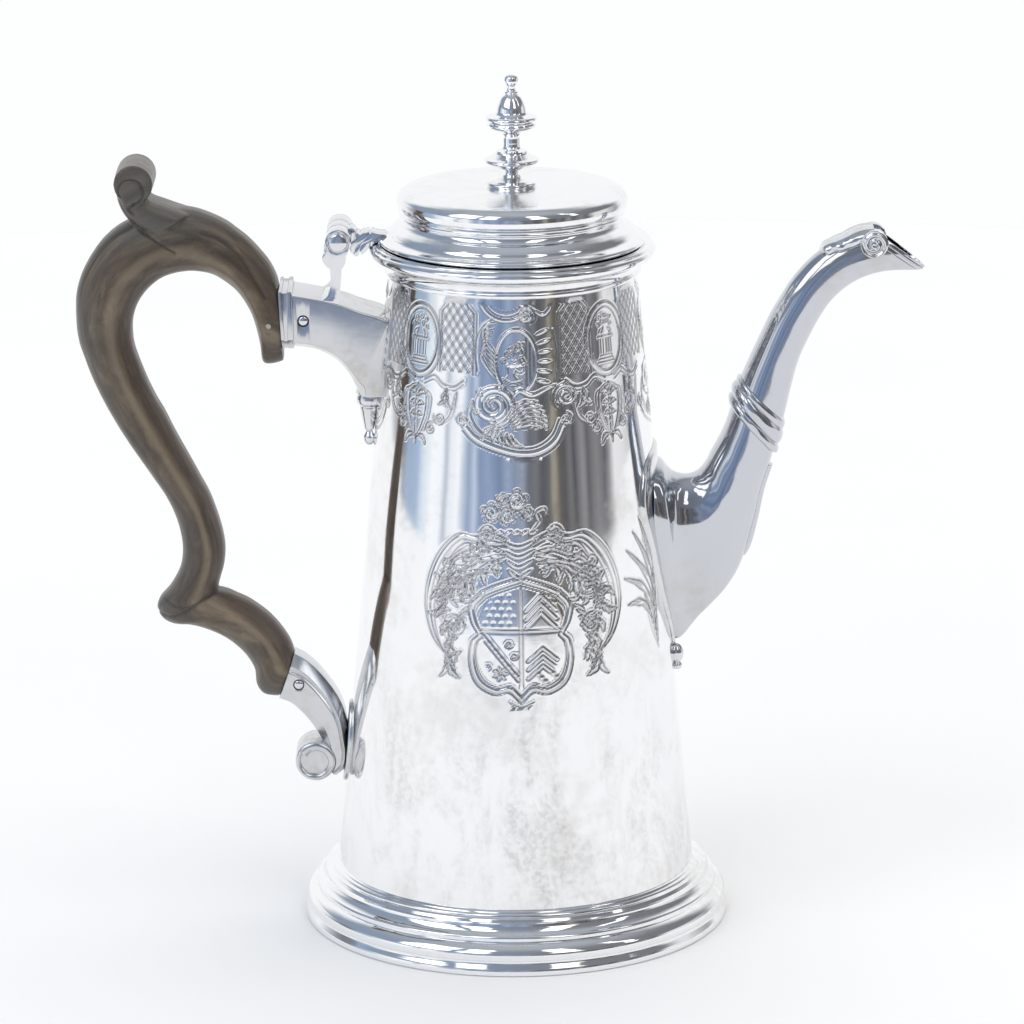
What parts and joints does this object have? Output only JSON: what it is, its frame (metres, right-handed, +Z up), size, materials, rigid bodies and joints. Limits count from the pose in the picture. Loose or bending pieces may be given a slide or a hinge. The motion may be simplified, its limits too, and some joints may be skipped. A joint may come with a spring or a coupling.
{
  "type": "coffee pot",
  "caption": "Tapered silver coffee pot with hinged domed lid, turned finial, swan-neck spout and carved wooden scroll handle.",
  "frame": {"origin": "centre of the foot's resting plane", "axes": "+Z up, +X towards the spout, -X towards the handle"},
  "size_m": [0.2306, 0.1174, 0.2362],
  "materials": {
    "silver": "polished",
    "wood": "satin"
  },
  "bodies": {
    "pot": {"body_shell": "silver", "body_base": "silver", "foot_ring": "silver", "rim_moulding": "silver", "spout_plate": "silver", "spout_drop": "silver", "spout_lower": "silver", "spout_keel": "silver", "spout_collar": "silver", "spout_upper": "silver", "spout_volutes": "silver", "spout_strap": "silver", "handle": "wood", "handle_peg": "wood", "upper_socket": "silver", "socket_ferrule": "silver", "socket_drop": "silver", "upper_handle_pin": "silver", "lower_handle_pin": "silver", "lower_socket": "silver", "socket_volute": "silver", "lower_plate": "silver", "hinge_bracket": "silver", "hinge_pin": "silver"},
    "lid": {"lid_flange": "silver", "lid_dome": "silver", "lid_bezel": "silver", "lid_arm": "silver", "finial_base": "silver", "finial": "silver", "finial_nut": "silver"}
  },
  "joints": [
    {"name": "lid_hinge", "type": "hinge", "parent": "pot", "child": "lid", "pos_m": [-0.0469, 0, 0.1924], "axis": [0, -1, 0], "range_deg": [0, 105]}
  ]
}
